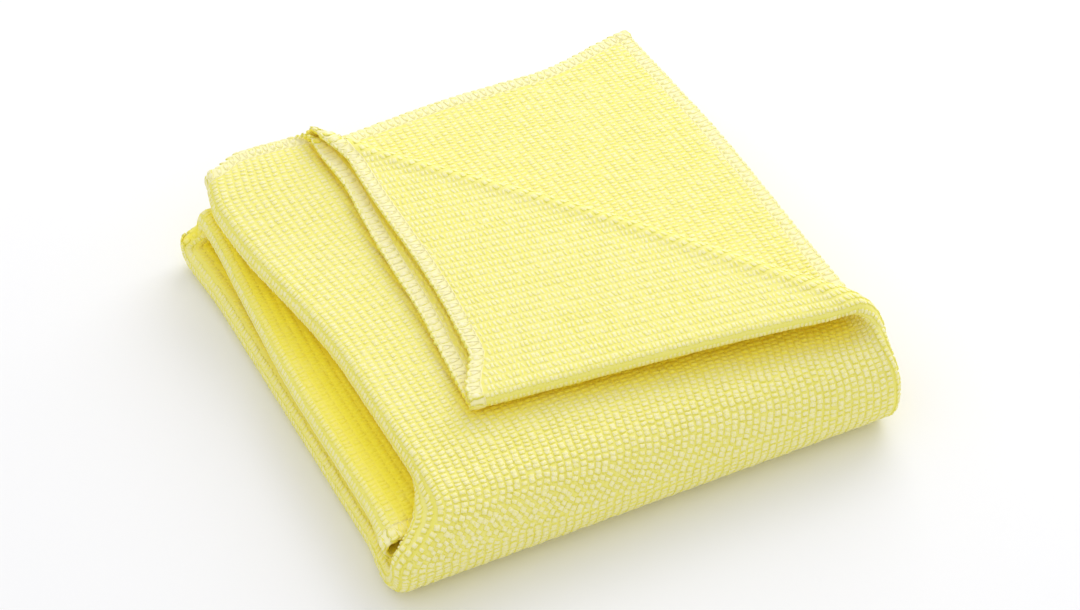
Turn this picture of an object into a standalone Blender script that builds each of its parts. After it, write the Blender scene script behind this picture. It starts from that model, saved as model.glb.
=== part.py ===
"""A microfibre cleaning cloth, folded in thirds both ways, with one corner turned back.

The cloth is one thin slab. It is scored wherever it will bend, then every point of it is carried
through the folds in the order that hands would make them:

    fold_across   the right third, then the left third, go under the middle one: a strip of 3 plies
    turn_back     the upper two plies of the strip's free end are turned back over a slanting crease
    fold_along    the strip goes back and forth: bottom run, U-turn at the back, middle run inside,
                  and a wide front roll up to the top run
    settle_pile   the pile leans and swells a little, as soft cloth does

Each fold maps space one to one, so the plies can't cut each other. +X runs along the front roll,
+Y from the roll to the back, +Z up. The cloth rests on Z = 0.
"""
import math

import bmesh
import bpy
from mathutils import Vector

for leftover in list(bpy.data.objects):
    bpy.data.objects.remove(leftover, do_unlink=True)

# ---- Driving dimensions, in metres -------------------------------------------------------------
CLOTH_ACROSS = 0.400        # cut size, across the three plies of the strip
CLOTH_ALONG = 0.418         # cut size, along the strip
PLY = 0.0019                # thickness of the looped knit
PLY_PITCH = 0.0025          # from one ply of a strip to the next
STRIP_WIDTH = 0.137         # width of the folded pack
STRIP_PITCH = 0.0082        # from one run of the strip to the next
PACK_DEPTH = 0.1426         # from the front of the roll to the back of the U-turn
FREE_END_Y = 0.1422         # back edge of the top run, at its left fold
UNDER_PLY_INSET = 0.0007    # the lowest ply's free edge stops this far inside the right fold

# The turned-back corner. Its crease is described in axes turned by 45 degrees: "beyond" points to
# the back-right corner and "along" to the front-right one.
CREASE_OFFSET = 0.1173      # how far beyond the origin the crease lies ...
CREASE_AT = -0.0060         # ... at this place along it
CREASE_SLANT = -0.12        # and how it slants away from 45 degrees
CURL_RADIUS = 0.0026        # middle of the two plies, where the curl is tight
CURL_OPENING = 0.0019       # how much wider the curl is at the front end of the crease
LEAD_RADIUS = 0.018         # the gentle bend with which the plies rise into the curl
LEAD_TURN = 0.24            # and its angle, in radians
SETTLE_RADIUS = 0.016       # the gentle bend with which the flap comes down on the top ply
FLAP_RISE = 2 * PLY_PITCH   # middle of the flap above the middle of the plies under it
FLAP_OPENING = 0.0036       # how much higher the flap stands at the front end of the crease
OPENS_FROM, OPEN_AT = -0.020, 0.088     # places along the crease between which the curl opens

# Ramps. Each row is (from, to, change): a value that changes smoothly between two places.
# How far the plies have slid along the strip beyond the roll:
UNDER_SLIDES = ((-0.010, 0.080, 0.0103), (0.098, 0.140, 0.0087))    # inward from the left fold
OUTER_SLIDES = ((0.0, 0.008, 0.0036), (0.034, 0.056, -0.0036), (0.040, 0.090, 0.0033))
INNER_SLIDES = ((0.000, 0.014, -0.0066), (0.084, 0.100, 0.0060))    # inward from the right fold
# How far the left and right folds of each run are shifted in +X: at the front, and ramps in y
BOTTOM_LEFT = (-0.0022, ((0.112, 0.142, -0.0013),))
BOTTOM_RIGHT = (-0.0010, ())
MIDDLE_LEFT = (-0.0014, ((0.060, 0.130, 0.0030),))
MIDDLE_RIGHT = (0.0010, ((0.108, 0.126, 0.0030), (0.140, 0.150, -0.0030)))
TOP_LEFT = (0.0100, ((0.060, 0.135, -0.0073),))
TOP_RIGHT = (-0.0010, ((0.025, 0.120, 0.0044),))
# The same for the front roll: at the bottom, and ramps in z
ROLL_LEFT = (-0.0036, ((0.012, 0.023, 0.0128),))
ROLL_RIGHT = (-0.0070, ())
ROLL_FADE = (0.006, 0.024)      # places in y between which the roll's shifts give way to the runs'
SWELL = 0.035                   # how much higher the pile is in the middle than at its sides
LOOP_GAP = 0.0024               # how far the U-turn opens at its left end
PUFF = 0.0008                   # how far the top run lifts at the back-left
TUCK = 0.0030                   # how far the top run's back-left corner is drawn in

# How finely the slab is scored
FLAT_STEP = 0.0155          # longest span between two score lines on a flat run
LEFT_TURN_STEPS = 8
RIGHT_TURN_STEPS = 6
ROLL_STEPS = 14
U_TURN_STEPS = 10
CURL_STEPS = (1, 8, 2)     # for the curl's lead-in, its turn and its settling
SNAP = 0.00008              # a score line takes up vertices this near to it

# ---- Derived sizes -----------------------------------------------------------------------------
UNDER_H, INNER_H, OUTER_H = (PLY / 2 + level * PLY_PITCH for level in range(3))
STRIP_THICKNESS = PLY + 2 * PLY_PITCH
LEFT_RADIUS = PLY_PITCH                                 # outer ply to lowest ply
RIGHT_RADIUS = PLY_PITCH / 2                            # outer ply to inner ply
LEFT_X = LEFT_RADIUS + PLY / 2                          # axis of the left turn
RIGHT_X = STRIP_WIDTH - RIGHT_RADIUS - PLY / 2          # axis of the right turn
OUTER_SPAN = RIGHT_X - LEFT_X
LEFT_ARC = math.pi * LEFT_RADIUS
RIGHT_ARC = math.pi * RIGHT_RADIUS
UNDER_SPAN = STRIP_WIDTH - UNDER_PLY_INSET - LEFT_X
INNER_SPAN = CLOTH_ACROSS - UNDER_SPAN - LEFT_ARC - OUTER_SPAN - RIGHT_ARC

ROLL_RADIUS = STRIP_PITCH                               # at the middle of the strip
ROLL_INNER = ROLL_RADIUS - STRIP_THICKNESS / 2
ROLL_Y = ROLL_INNER + STRIP_THICKNESS
ROLL_Z = ROLL_INNER + STRIP_THICKNESS
ROLL_ARC = math.pi * ROLL_RADIUS
U_RADIUS = STRIP_PITCH / 2
U_INNER = U_RADIUS - STRIP_THICKNESS / 2
U_Y = PACK_DEPTH - U_INNER - STRIP_THICKNESS
U_Z = STRIP_THICKNESS + U_INNER
U_ARC = math.pi * U_RADIUS

# Places along the strip, measured back from the front of the roll as if the strip lay flat
ROLL_START = ROLL_Y - ROLL_ARC
U_START = ROLL_START - (U_Y - ROLL_Y)
U_END = U_START - U_ARC
HIDDEN_END = FREE_END_Y - CLOTH_ALONG

FLAP_MIDDLE_H = (INNER_H + OUTER_H) / 2
UNDER_TOP_H = UNDER_H + PLY_PITCH / 2                   # between the lowest ply and the inner one
ROOT2 = math.sqrt(2)


def smooth(value, start, end):
    """Rise from 0 at start to 1 at end with level ends."""
    share = min(max((value - start) / (end - start), 0.0), 1.0)
    return share * share * (3 - 2 * share)


def ramped(value, ramps, place):
    """A value after its (from, to, change) ramps up to a place."""
    return value + sum(change * smooth(place, start, end) for start, end, change in ramps)


# ---- The folds ---------------------------------------------------------------------------------
def fold_across(u, w):
    """Carry a point of the flat cloth, u across it and w above it, into the strip's section."""
    if u < -LEFT_ARC:
        return LEFT_X - LEFT_ARC - u, UNDER_H - w
    if u < 0:
        angle = u / LEFT_RADIUS
        reach = LEFT_RADIUS + w
        return LEFT_X + reach * math.sin(angle), OUTER_H - LEFT_RADIUS + reach * math.cos(angle)
    if u <= OUTER_SPAN:
        return LEFT_X + u, OUTER_H + w
    if u <= OUTER_SPAN + RIGHT_ARC:
        angle = (u - OUTER_SPAN) / RIGHT_RADIUS
        reach = RIGHT_RADIUS + w
        return RIGHT_X + reach * math.sin(angle), FLAP_MIDDLE_H + reach * math.cos(angle)
    return RIGHT_X - (u - OUTER_SPAN - RIGHT_ARC), INNER_H - w


def slip(u, v):
    """How far a point has slid along the strip: inner plies take the shorter way round each fold."""
    if u < 0:
        slid = ramped(0.0, UNDER_SLIDES, -u - LEFT_ARC)
    else:
        slid = ramped(0.0, OUTER_SLIDES, u) + ramped(0.0, INNER_SLIDES, u - OUTER_SPAN - RIGHT_ARC)
    return slid * smooth(v, ROLL_START, ROLL_Y + 0.015)


def curl(along):
    """Where the curl starts at a place along its crease, and its bends as (radius, turn) pairs."""
    openness = smooth(along, OPENS_FROM, OPEN_AT)
    radius = CURL_RADIUS + CURL_OPENING * openness
    rise = LEAD_RADIUS * (1 - math.cos(LEAD_TURN)) + radius * math.cos(LEAD_TURN)
    target = FLAP_RISE + FLAP_OPENING * openness
    settle = math.acos((target - rise + SETTLE_RADIUS) / (radius + SETTLE_RADIUS))
    middle = CREASE_OFFSET + CREASE_SLANT * (along - CREASE_AT)
    half_run = (LEAD_RADIUS * (LEAD_TURN + math.sin(LEAD_TURN))
                + radius * (math.pi + settle - LEAD_TURN - math.sin(settle) - math.sin(LEAD_TURN))
                + SETTLE_RADIUS * (settle - math.sin(settle))) / 2
    bends = ((LEAD_RADIUS, LEAD_TURN), (radius, math.pi + settle - LEAD_TURN), (SETTLE_RADIUS, -settle))
    return middle - half_run, bends


def turn_back(x, y, h):
    """Turn the upper two plies of the strip's free end back over the slanting crease."""
    beyond, along = (x + y) / ROOT2, (x - y) / ROOT2
    start, bends = curl(along)
    run = beyond - start
    if h < UNDER_TOP_H or run <= 0:
        return x, y, h
    lift, beyond, height, heading = h - FLAP_MIDDLE_H, start, FLAP_MIDDLE_H, 0.0
    for radius, turn in bends:
        part = min(run, radius * abs(turn))
        side = math.copysign(radius, turn)
        ahead = heading + part / side
        beyond += side * (math.sin(ahead) - math.sin(heading))
        height += side * (math.cos(heading) - math.cos(ahead))
        heading = ahead
        run -= part
    beyond += run * math.cos(heading) - lift * math.sin(heading)
    height += run * math.sin(heading) + lift * math.cos(heading)
    return (beyond + along) / ROOT2, (beyond - along) / ROOT2, height


def fold_along(y, h):
    """Fold the strip back and forth. y runs along the strip and h through it."""
    if y >= ROLL_Y:
        return y, 2 * STRIP_PITCH + h
    if y >= ROLL_START:
        angle = (ROLL_Y - y) / ROLL_RADIUS
        reach = ROLL_INNER + h
        return ROLL_Y - reach * math.sin(angle), ROLL_Z + reach * math.cos(angle)
    if y >= U_START:
        return ROLL_Y + ROLL_START - y, STRIP_THICKNESS - h
    if y >= U_END:
        angle = (U_START - y) / U_RADIUS
        reach = U_INNER + h
        return U_Y + reach * math.sin(angle), U_Z - reach * math.cos(angle)
    return U_Y - (U_END - y), STRIP_PITCH + h


def by_run(z, bottom, middle, top):
    """A value for each of the three runs, changing only in the gaps between them."""
    low_gap, high_gap, half = U_Z, U_Z + STRIP_PITCH, 0.0010
    return (bottom + (middle - bottom) * smooth(z, low_gap - half, low_gap + half)
            + (top - middle) * smooth(z, high_gap - half, high_gap + half))


def settle_pile(x, y, z):
    """Let the pile lean and swell: its runs are shifted and narrowed, and their heights vary."""
    left = by_run(z, *(ramped(*shift, y) for shift in (BOTTOM_LEFT, MIDDLE_LEFT, TOP_LEFT)))
    right = by_run(z, *(ramped(*shift, y) for shift in (BOTTOM_RIGHT, MIDDLE_RIGHT, TOP_RIGHT)))
    in_roll = 1 - smooth(y, *ROLL_FADE)
    left += (ramped(*ROLL_LEFT, z) - left) * in_roll
    right += (ramped(*ROLL_RIGHT, z) - right) * in_roll
    share = x / STRIP_WIDTH
    lean = left * (1 - share) + right * share
    lean += (TUCK * smooth(y, 0.126, 0.144) * (1 - smooth(x, 0.004, 0.034))
             * smooth(z, 2 * STRIP_PITCH - 0.002, 2 * STRIP_PITCH))
    swell = 1 + SWELL * math.sin(math.pi * min(max(share, 0), 1)) * smooth(y, 0.0, 0.020)
    opened = LOOP_GAP * smooth(y, U_Y - 0.030, U_Y + 0.002) * (1 - smooth(x, 0.010, 0.070))
    lifted = PUFF * smooth(y, 0.095, 0.142) * (1 - smooth(x, 0.022, 0.046))
    height = (z * swell + opened * smooth(z, U_Z - 0.0035, U_Z + 0.0035)
              + lifted * smooth(z, 2 * STRIP_PITCH - 0.002, 3 * STRIP_PITCH))
    return x + lean, y, height


def place(u, v, w):
    """Carry a point of the flat, scored slab to its place in the folded cloth."""
    x, h = fold_across(u, w)
    x, y, h = turn_back(x, v, h)
    y, z = fold_along(y, h)
    return settle_pile(x, y, z)


# ---- The slab ----------------------------------------------------------------------------------
def score(mesh, point, normal, geometry=None):
    """Cut the slab's faces along a plane, and keep both sides."""
    if geometry is None:
        geometry = mesh.verts[:] + mesh.edges[:] + mesh.faces[:]
    bmesh.ops.bisect_plane(mesh, geom=geometry, dist=SNAP, plane_co=point, plane_no=normal)


def faces_between(mesh, low_u, high_u, low_v):
    """The faces, edges and vertices of the slab within a band of u and beyond a place in v."""
    faces = [face for face in mesh.faces
             if low_u < face.calc_center_median().x < high_u and face.calc_center_median().y > low_v]
    edges = {edge for face in faces for edge in face.edges}
    verts = {vert for face in faces for vert in face.verts}
    return list(verts) + list(edges) + faces


def spaced(start, end, steps):
    """Places from start to end, both included, in equal steps."""
    return [start + (end - start) * index / steps for index in range(steps + 1)]


def spans(stops):
    """Score places for a row of (end, steps) stops, where steps of None means a flat run."""
    places, start = [], stops[0][0]
    for end, steps in stops[1:]:
        places += spaced(start, end, steps or max(1, math.ceil(abs(end - start) / FLAT_STEP)))[1:]
        start = end
    return places[:-1]


def scored_slab():
    """The flat cloth as a thin slab, cut along every line where it will bend."""
    low_u = -LEFT_ARC - UNDER_SPAN
    mesh = bmesh.new()
    bmesh.ops.create_cube(mesh, size=1.0)
    for vert in mesh.verts:
        vert.co = Vector((low_u + (vert.co.x + 0.5) * CLOTH_ACROSS,
                          HIDDEN_END + (vert.co.y + 0.5) * CLOTH_ALONG, vert.co.z * PLY))

    across = spans([(low_u, None), (-LEFT_ARC, None), (0.0, LEFT_TURN_STEPS), (OUTER_SPAN, None),
                    (OUTER_SPAN + RIGHT_ARC, RIGHT_TURN_STEPS), (low_u + CLOTH_ACROSS, None)])
    for u in across:
        score(mesh, (u, 0, 0), (1, 0, 0))
    along = spans([(HIDDEN_END, None), (U_END, None), (U_START, U_TURN_STEPS), (ROLL_START, None),
                   (ROLL_Y, ROLL_STEPS), (FREE_END_Y, None)])
    for v in along:
        score(mesh, (0, v, 0), (0, 1, 0))
    for vert in mesh.verts:
        vert.co.y += slip(vert.co.x, vert.co.y)

    # The curl's lines slant one way on the outer ply and, mirrored by the fold, the other way on the
    # inner one. Between them they run straight across the right turn.
    start, bends = curl(CREASE_AT)
    lines = [start]
    for (radius, turn), steps in zip(bends, CURL_STEPS):
        lines += spaced(lines[-1], lines[-1] + radius * abs(turn), steps)[1:]
    slope = Vector((1 - CREASE_SLANT, 1 + CREASE_SLANT)) / ROOT2
    for line in lines:
        level = line - CREASE_SLANT * CREASE_AT
        outer_y = (level - slope.x * LEFT_X) / slope.y
        inner_y = (level - slope.x * RIGHT_X) / slope.y
        score(mesh, (0, outer_y, 0), (slope.x, slope.y, 0),
              faces_between(mesh, 0, OUTER_SPAN, ROLL_START))
        score(mesh, (0, inner_y, 0), (0, 1, 0),
              faces_between(mesh, OUTER_SPAN, OUTER_SPAN + RIGHT_ARC, ROLL_START))
        score(mesh, (OUTER_SPAN + RIGHT_ARC, inner_y, 0), (-slope.x, slope.y, 0),
              faces_between(mesh, OUTER_SPAN + RIGHT_ARC, CLOTH_ACROSS, ROLL_START))
    bmesh.ops.triangulate(mesh, faces=mesh.faces[:])
    return mesh


def build_cloth(collection):
    """The folded cloth as one closed solid, centred over the origin."""
    mesh = scored_slab()
    for vert in mesh.verts:
        vert.co = Vector(place(*vert.co))
    for axis in (0, 1):
        middle = (min(v.co[axis] for v in mesh.verts) + max(v.co[axis] for v in mesh.verts)) / 2
        bmesh.ops.translate(mesh, verts=mesh.verts[:],
                            vec=Vector([-middle if index == axis else 0.0 for index in range(3)]))
    bmesh.ops.recalc_face_normals(mesh, faces=mesh.faces[:])
    data = bpy.data.meshes.new("cloth")
    mesh.to_mesh(data)
    mesh.free()
    cloth = bpy.data.objects.new("cloth", data)
    collection.objects.link(cloth)
    return cloth


def knit_material():
    """Pale lemon knit."""
    material = bpy.data.materials.new("lemon_knit")
    material.use_nodes = True
    shader = material.node_tree.nodes["Principled BSDF"]
    shader.inputs["Base Color"].default_value = (0.93, 0.86, 0.36, 1.0)
    shader.inputs["Roughness"].default_value = 0.95
    return material


collection = bpy.data.collections.new("microfibre_cloth")
bpy.context.scene.collection.children.link(collection)
cloth = build_cloth(collection)
cloth.data.materials.append(knit_material())
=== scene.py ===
"""Dresses the folded microfibre cloth: a looped knit, an overlocked edge, and a bright studio.

The cloth is laid out flat, as it is knitted and sewn, and carried through the same folds as the solid
that it replaces. Flat places are (u, v, w): u across the cloth from its left fold, v along the strip
from the front of the roll, w above the middle of the cloth's thickness. The ground and the thread are
made flat and then folded. Loops and puffs keep their shape: they are set on the folded cloth, where
their flat places come to lie. Lengths are in metres.
"""
import math
import random

import bmesh
import bpy
from mathutils import Matrix, Vector
from mathutils.bvhtree import BVHTree


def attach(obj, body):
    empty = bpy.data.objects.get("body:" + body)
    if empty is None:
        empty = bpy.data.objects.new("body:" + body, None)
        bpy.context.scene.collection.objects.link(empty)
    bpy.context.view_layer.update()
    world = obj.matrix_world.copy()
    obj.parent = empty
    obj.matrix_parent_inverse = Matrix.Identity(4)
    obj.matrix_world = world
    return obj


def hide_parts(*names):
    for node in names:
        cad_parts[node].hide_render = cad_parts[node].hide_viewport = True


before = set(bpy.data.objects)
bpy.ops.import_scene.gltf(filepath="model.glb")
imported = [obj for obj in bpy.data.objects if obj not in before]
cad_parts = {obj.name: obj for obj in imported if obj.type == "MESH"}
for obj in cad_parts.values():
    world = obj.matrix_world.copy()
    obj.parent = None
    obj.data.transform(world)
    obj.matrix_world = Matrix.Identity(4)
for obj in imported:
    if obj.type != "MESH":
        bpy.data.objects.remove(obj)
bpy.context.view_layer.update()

bl_info = {
    "name": "Folded Microfibre Cloth",
    "version": (1, 0, 0),
    "blender": (4, 5, 0),
    "location": "View3D > Sidebar > Cloth",
    "description": "Knits, folds and edges a microfibre cloth, and lights it",
    "category": "Object",
}

# ---- The folded cloth's sizes, as in its solid -------------------------------------------------
CLOTH_ACROSS = 0.400
CLOTH_ALONG = 0.418
PLY = 0.0019
PLY_PITCH = 0.0025
STRIP_WIDTH = 0.137
STRIP_PITCH = 0.0082
PACK_DEPTH = 0.1426
FREE_END_Y = 0.1422
UNDER_PLY_INSET = 0.0007
PILE_MIDDLE = (0.0687000, 0.0802647)    # middle of the pile in plan, which stands over the origin

CREASE_OFFSET, CREASE_AT, CREASE_SLANT = 0.1173, -0.0060, -0.12
CURL_RADIUS, CURL_OPENING = 0.0026, 0.0019
LEAD_RADIUS, LEAD_TURN = 0.018, 0.24
SETTLE_RADIUS = 0.016
FLAP_RISE, FLAP_OPENING = 2 * PLY_PITCH, 0.0036
OPENS_FROM, OPEN_AT = -0.020, 0.088

# Ramps. Each row is (from, to, change): a value that changes smoothly between two places.
UNDER_SLIDES = ((-0.010, 0.080, 0.0103), (0.098, 0.140, 0.0087))
OUTER_SLIDES = ((0.0, 0.008, 0.0036), (0.034, 0.056, -0.0036), (0.040, 0.090, 0.0033))
INNER_SLIDES = ((0.000, 0.014, -0.0066), (0.084, 0.100, 0.0060))
BOTTOM_LEFT, BOTTOM_RIGHT = (-0.0022, ((0.112, 0.142, -0.0013),)), (-0.0010, ())
MIDDLE_LEFT = (-0.0014, ((0.060, 0.130, 0.0030),))
MIDDLE_RIGHT = (0.0010, ((0.108, 0.126, 0.0030), (0.140, 0.150, -0.0030)))
TOP_LEFT = (0.0100, ((0.060, 0.135, -0.0073),))
TOP_RIGHT = (-0.0010, ((0.025, 0.120, 0.0044),))
ROLL_LEFT, ROLL_RIGHT = (-0.0036, ((0.012, 0.023, 0.0128),)), (-0.0070, ())
ROLL_FADE = (0.006, 0.024)
SWELL, LOOP_GAP, PUFF, TUCK = 0.035, 0.0024, 0.0008, 0.0030
# Places between which these set in or fade
SWELL_Y = (0.0, 0.020)
TUCK_X, TUCK_Y = (0.004, 0.034), (0.126, 0.144)
PUFF_X, PUFF_Y = (0.022, 0.046), (0.095, 0.142)
GAP_X = (0.010, 0.070)

UNDER_H, INNER_H, OUTER_H = (PLY / 2 + level * PLY_PITCH for level in range(3))
STRIP_THICKNESS = PLY + 2 * PLY_PITCH
LEFT_RADIUS, RIGHT_RADIUS = PLY_PITCH, PLY_PITCH / 2
LEFT_X = LEFT_RADIUS + PLY / 2
RIGHT_X = STRIP_WIDTH - RIGHT_RADIUS - PLY / 2
OUTER_SPAN = RIGHT_X - LEFT_X
LEFT_ARC, RIGHT_ARC = math.pi * LEFT_RADIUS, math.pi * RIGHT_RADIUS
UNDER_SPAN = STRIP_WIDTH - UNDER_PLY_INSET - LEFT_X
LOW_U = -LEFT_ARC - UNDER_SPAN
HIGH_U = LOW_U + CLOTH_ACROSS

ROLL_RADIUS = STRIP_PITCH
ROLL_INNER = ROLL_RADIUS - STRIP_THICKNESS / 2
ROLL_Y = ROLL_Z = ROLL_INNER + STRIP_THICKNESS
ROLL_ARC = math.pi * ROLL_RADIUS
U_RADIUS = STRIP_PITCH / 2
U_INNER = U_RADIUS - STRIP_THICKNESS / 2
U_Y = PACK_DEPTH - U_INNER - STRIP_THICKNESS
U_Z = STRIP_THICKNESS + U_INNER
ROLL_START = ROLL_Y - ROLL_ARC
U_START = ROLL_START - (U_Y - ROLL_Y)
U_END = U_START - math.pi * U_RADIUS
HIDDEN_END = FREE_END_Y - CLOTH_ALONG
GAP_Y, GAP_Z = (U_Y - 0.030, U_Y + 0.002), (U_Z - 0.0035, U_Z + 0.0035)
TOP_FROM_Z = 2 * STRIP_PITCH - 0.002    # where the top run's own changes set in
SLIP_V = (ROLL_START, ROLL_Y + 0.015)
TURNS_FROM = 0.06                       # nothing is turned back short of this, along the diagonal
FLAP_MIDDLE_H = (INNER_H + OUTER_H) / 2
UNDER_TOP_H = UNDER_H + PLY_PITCH / 2
PLY_ROOM = PLY_PITCH / 2 - 0.00004      # nothing flat is folded further from the middle of its ply
FACE_W = 0.8 * PLY / 2                  # about where the ground's faces lie
CORNERS = ((LOW_U, HIDDEN_END), (HIGH_U, HIDDEN_END), (HIGH_U, FREE_END_Y), (LOW_U, FREE_END_Y))
EDGES = tuple(zip(CORNERS, CORNERS[1:] + CORNERS[:1]))      # pairs of corners, round the cloth
ROOT2 = math.sqrt(2)
NUDGE = 0.0002              # a short step over the cloth, by which directions are found
SLIP_ROUNDS = 12            # how often the way back from a slid place is corrected

# How finely the knit is scored before it is folded
FLAT_STEP = 0.0030
TURN_STEPS = {"left": 12, "right": 8, "roll": 26, "u_turn": 16}
CURL_STEPS = (5, 18, 6)
SNAP = 0.00004              # a score line takes up vertices this near to it
RIM = 0.0006                # the cloth's edge is rounded over this width
RIM_LINES = (0.00012, 0.00033, RIM)     # score lines this far inside each edge
RIM_SHARE = 0.35            # thickness of the very edge, over the ground's
SEWN_IN = 0.00008           # how far the stitches draw in each face at the edges
SEWN_FADE = (0.0040, 0.0062)    # distances from the edge between which that fades

# The loops
LOOP_FACTS = ("high", "heading", "wide", "long", "open")    # of each loop, after its flat place; the last, open, sets its painted shade
LOOP_TILT = 0.10            # how far a loop is turned from straight across its rib, in radians
LOOP_SUNK = 0.00016         # depth of a loop's middle below the ground's face
LOOP_FILL = (1.10, 1.26)    # width and length of a loop, over the distances between loops
LOOP_STRAY = (0.15, 0.5)    # how far an uneven loop may stray across and along its rib, in loops
LOOP_VARIES = {"Width": 0.35, "Length": 1.0, "Height": 0.9}     # shares of each, for uneven loops
LOOP_LEANS = 0.9            # how far such a loop may turn either way, in radians
LOOP_SEED, STRAY_SEED = 3, 11
LAST_LOOP = 0.4             # how far a rib's last loop stays from the thread, in loops
STAGGER = 0.08              # how far each rib's loops lie beyond the last rib's, in loops
PRESSED, RAISED = 0.82, 0.46        # height of a loop in the pile, and what it gains on the roll
RISE, SINK = 0.010, 0.035   # how far before the roll the loops rise, and after it sink again
STRETCH = (0.8, 1.25)       # the least and the most that a bend shortens and lengthens a loop
WIDENING = (0.8, 1.12)      # the same for its width
SEGMENTS = 6                # of a loop, round the axis that lies across its rib
RINGS = {"edge_puffs": 4, "loops_bottom": 2}        # of a loop, along that axis, where not 3
SEEN = 0.004                # a place of the cloth that is less open than this gets no loop
PUFFS = ((0.51, 0.96), (0.10, 0.26))    # middle and width of the edge's puffs, over the thread's width
PUFF_HEIGHT, PUFF_LENGTH = 0.72, 1.15

# The survey of how open the cloth is, which sets where its colour is painted with golden shade and the
# soft light's painted shadow
SURVEY = (134, 140)         # cells of the flat grid
RAY_RINGS = ((0.0, 1), (0.55, 6), (0.95, 8), (1.3, 10))     # tilts of the rays, and how many of each
RAY_LENGTH, RAY_START = 0.4, 0.0003
UNDERNEATH = 0.6            # how open the face on the floor counts, for its painted shade
FACES_DOWN, NEAR_FLOOR = -0.9, 0.002    # the z of its outward direction and its height are below these
KEY_SHARE, KEY_FOCUS = 6.0, 3           # how much more rays near the soft light count, how narrowly: where that light is blocked, the finishes paint its shadow

# The thread
THREAD_HEIGHT = 0.00070     # how high it lies over the middle of the cloth
CLIMB = 0.0007              # distance from the edge over which it climbs to that height
DIP, DIP_MIDDLE = 0.00020, -0.00002     # how far the needle line waves, and about which height
STRAND_SIDES = 4
SEAM_POINTS, NEEDLE_POINTS = 8, 4       # of the two strands, for each stitch
SEWN_OVER = 0.0003          # how far past the needle line the ground is thread-coloured
LOOPS_OFF = 0.0002          # how far past it the loops start

# The finishes
KNIT_SHADE = (-0.20, 0.85)  # shares of open sky over which the painted golden shade gives way to the knit's own colour
CROWN_SHADE = (-0.08, 0.90)     # the same for the loops' crowns
THREAD_SHADE = (-0.05, 0.65)    # and for the thread
FIBRES, THREAD_FIBRES = 2600.0, 3800.0  # scales of the noise that stands for single fibres
GROUND_RELIEF, LOOP_RELIEF, THREAD_RELIEF = 0.00006, 0.00012, 0.00003
TWIST = 0.0011              # length of thread in which its filaments turn once

# The studio
KEY_PLACE = (0.62, 0.54, 0.58)      # of the soft light, behind the cloth and to its right
KEY_SIZE = (0.9, 0.7)
FLOOR_REACH = 3.0           # half the floor's length and width
CAMERA_PLACE = (-0.2170, -0.4366, 0.4200)
CAMERA_AHEAD = (0.34285, 0.67873, -0.64945)     # the way that the camera looks
CAMERA_RIGHT = (0.89259, -0.45088, 0.0)         # and the way to its right
FOCAL_LENGTH, FILM_WIDTH = 83.333, 36.0         # in millimetres
BOUNCES = 12                # of light, which deep folds need


# ---- Settings that a user would change ---------------------------------------------------------
class KnitSettings(bpy.types.PropertyGroup):
    """The looped knit of the cloth."""
    wale: bpy.props.FloatProperty(
        name="Wale", description="Distance from one rib of loops to the next",
        default=0.00212, min=0.001, max=0.01, precision=5, subtype="DISTANCE", unit="LENGTH")
    course: bpy.props.FloatProperty(
        name="Course", description="Distance from one loop to the next along a rib",
        default=0.00138, min=0.001, max=0.01, precision=5, subtype="DISTANCE", unit="LENGTH")
    loop_height: bpy.props.FloatProperty(
        name="Loop Height", description="Half the thickness of a loop, which is partly sunk in the ground",
        default=0.00046, min=0.0001, max=0.002, precision=5, subtype="DISTANCE", unit="LENGTH")
    ground_inset: bpy.props.FloatProperty(
        name="Ground Inset", description="How far the ground lies inside the solid's faces",
        default=0.00025, min=0.0, max=0.0005, precision=5, subtype="DISTANCE", unit="LENGTH")
    unevenness: bpy.props.FloatProperty(
        name="Unevenness", description="How much the loops differ in size and place",
        default=0.25, min=0.0, max=1.0, subtype="FACTOR")
    loop_colour: bpy.props.FloatVectorProperty(
        name="Loop Colour", description="Colour of the loops' crowns",
        default=(0.945, 0.885, 0.57), size=3, min=0.0, max=1.0, subtype="COLOR")
    # painted shade: the deeper colour of the grooves between the loops and of the loops' sides
    painted_groove_shade: bpy.props.FloatVectorProperty(
        name="Ground Colour", description="Deeper colour between the loops",
        default=(0.855, 0.80, 0.13), size=3, min=0.0, max=1.0, subtype="COLOR")
    # painted shade: a golden colour laid where the survey finds little open sky or the soft light blocked
    painted_golden_shade: bpy.props.FloatVectorProperty(
        name="Deep Colour", description="Golden colour where cloth faces cloth",
        default=(0.98, 0.85, 0.03), size=3, min=0.0, max=1.0, subtype="COLOR")


class ThreadSettings(bpy.types.PropertyGroup):
    """The overlocked edge."""
    stitch: bpy.props.FloatProperty(
        name="Stitch", description="Distance from one stitch to the next",
        default=0.0022, min=0.001, max=0.01, precision=5, subtype="DISTANCE", unit="LENGTH")
    width: bpy.props.FloatProperty(
        name="Width", description="From the cloth's edge to the needle line",
        default=0.0041, min=0.001, max=0.01, precision=5, subtype="DISTANCE", unit="LENGTH")
    radius: bpy.props.FloatProperty(
        name="Thread Radius", description="Half the thickness of the thread",
        default=0.00010, min=0.00005, max=0.001, precision=5, subtype="DISTANCE", unit="LENGTH")
    colour: bpy.props.FloatVectorProperty(
        name="Thread Colour", description="Colour of the thread",
        default=(0.96, 0.91, 0.56), size=3, min=0.0, max=1.0, subtype="COLOR")


class StudioSettings(bpy.types.PropertyGroup):
    """The floor and the lights."""
    floor_colour: bpy.props.FloatVectorProperty(
        name="Floor Colour", description="Colour of the plain floor",
        default=(0.885, 0.885, 0.898), size=3, min=0.0, max=1.0, subtype="COLOR")
    fill: bpy.props.FloatProperty(
        name="Fill", description="Strength of the even light from all round", default=0.89, min=0.0)
    key: bpy.props.FloatProperty(
        name="Key", description="Power of the soft light behind the cloth",
        default=5.2, min=0.0, unit="POWER")


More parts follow.
